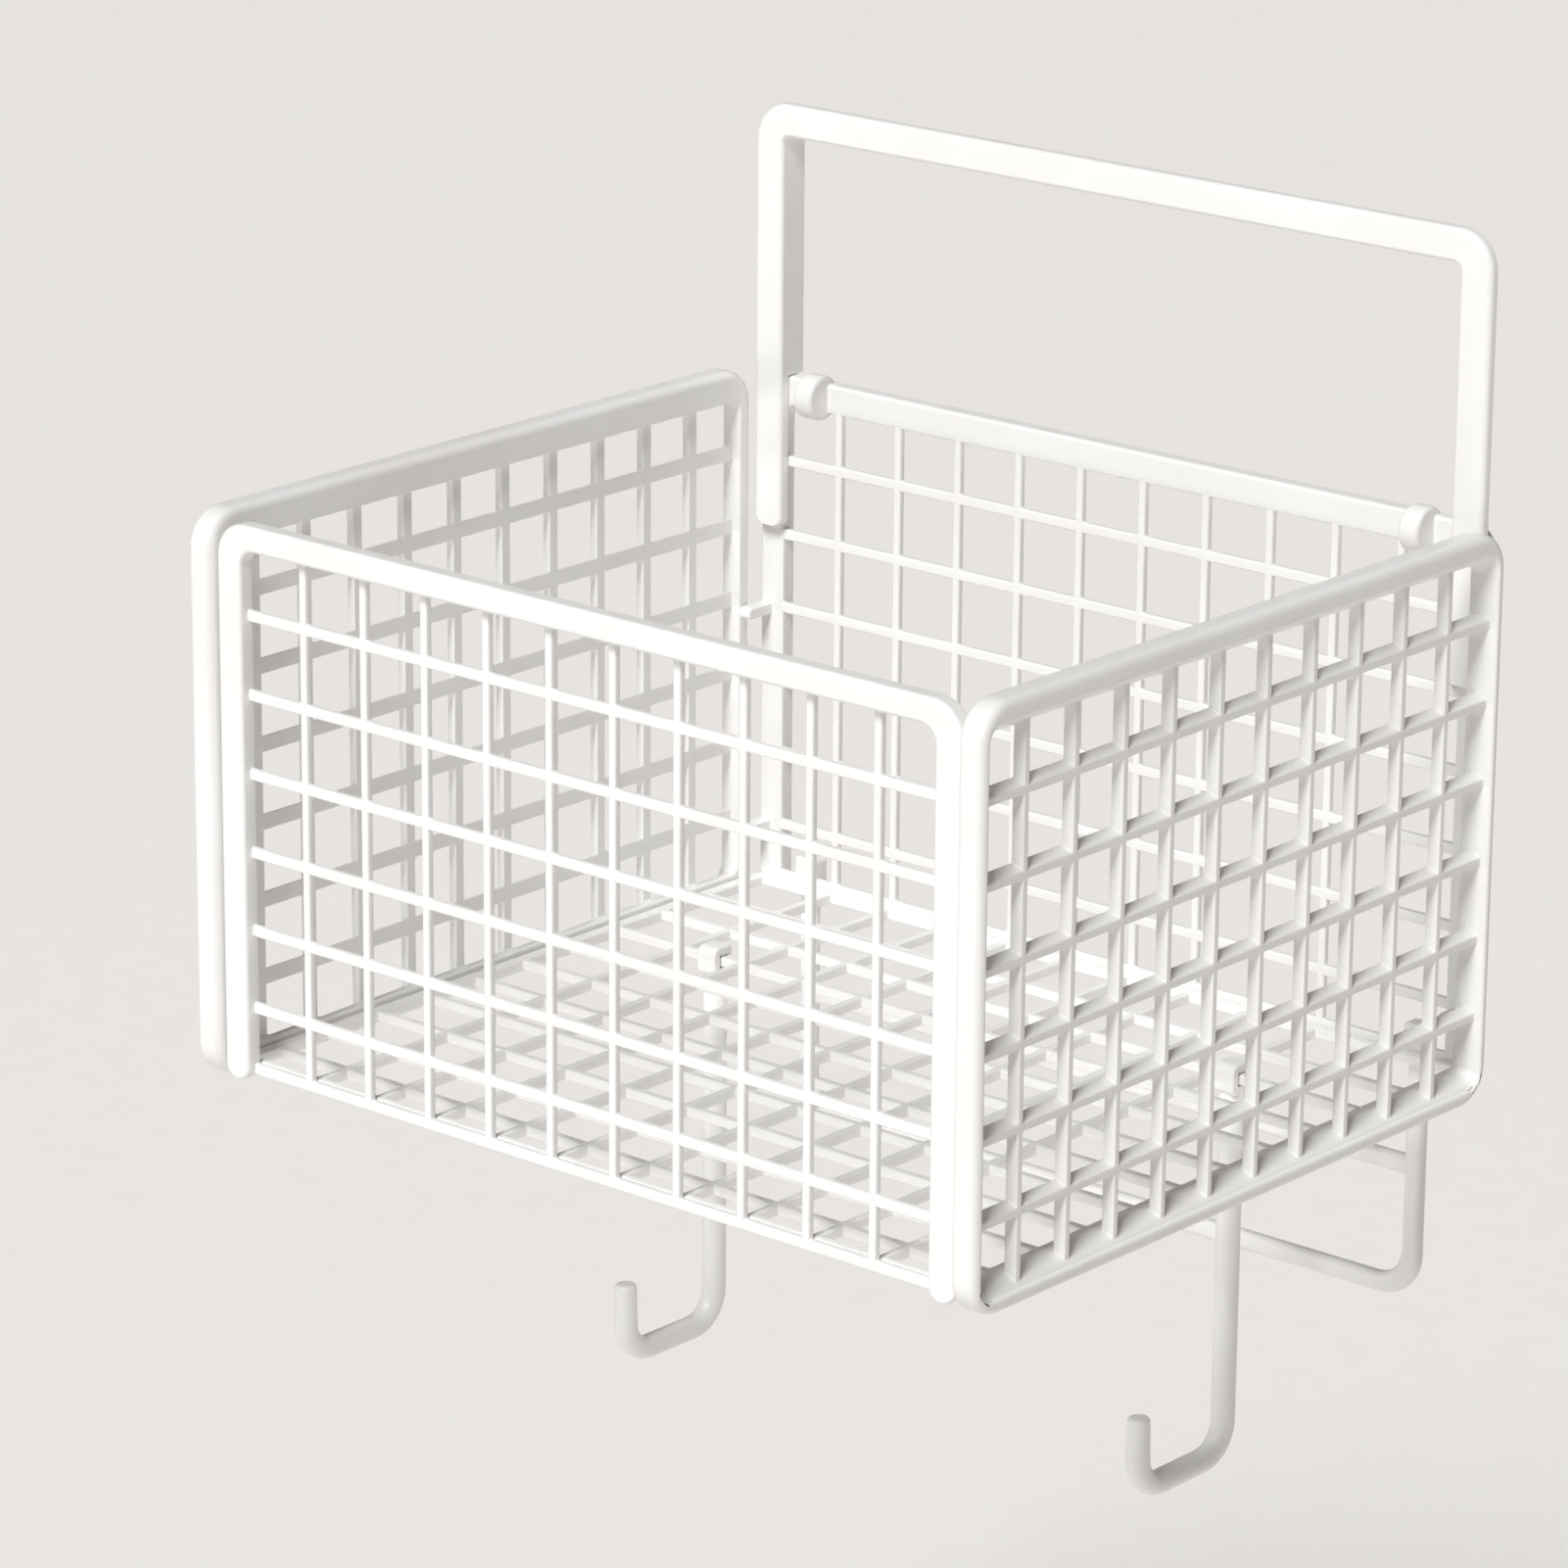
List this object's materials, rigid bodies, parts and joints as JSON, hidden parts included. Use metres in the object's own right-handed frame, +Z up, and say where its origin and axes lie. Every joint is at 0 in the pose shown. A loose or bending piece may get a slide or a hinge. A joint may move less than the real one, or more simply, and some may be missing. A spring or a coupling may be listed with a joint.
{
  "type": "wall basket",
  "caption": "White moulded grille basket with an open top, a tall hanger over its back, a lower loop and J hooks that clip under its floor.",
  "frame": {"origin": "middle of the underside of the hanger's top bar, where the basket hangs", "axes": "+X to the right seen from the front, -Y to the front, +Y towards the wall, +Z up"},
  "size_m": [0.2482, 0.2097, 0.3156],
  "materials": {
    "white_panel": "satin white moulded plastic",
    "white_frame": "satin white moulded plastic",
    "white_hook": "satin white moulded plastic",
    "rivet": "white push rivet"
  },
  "bodies": {
    "basket": {"front_panel": "white_panel", "right_panel": "white_panel", "left_panel": "white_panel", "back_panel": "white_panel", "floor_panel": "white_panel", "hanger": "white_frame", "lower_loop": "white_frame", "hanger_rivet_left_upper": "rivet", "hanger_rivet_left_lower": "rivet", "hanger_rivet_right_upper": "rivet", "hanger_rivet_right_lower": "rivet"},
    "left_hook": {"hook_left": "white_hook"},
    "right_hook": {"hook_right": "white_hook"}
  },
  "joints": [
    {"name": "left_hook_slide", "type": "slide", "parent": "basket", "child": "left_hook", "axis": [1, 0, 0], "range_m": [-0.0061, 0.0049]},
    {"name": "right_hook_slide", "type": "slide", "parent": "basket", "child": "right_hook", "axis": [1, 0, 0], "range_m": [-0.0002, 0.0108]}
  ]
}
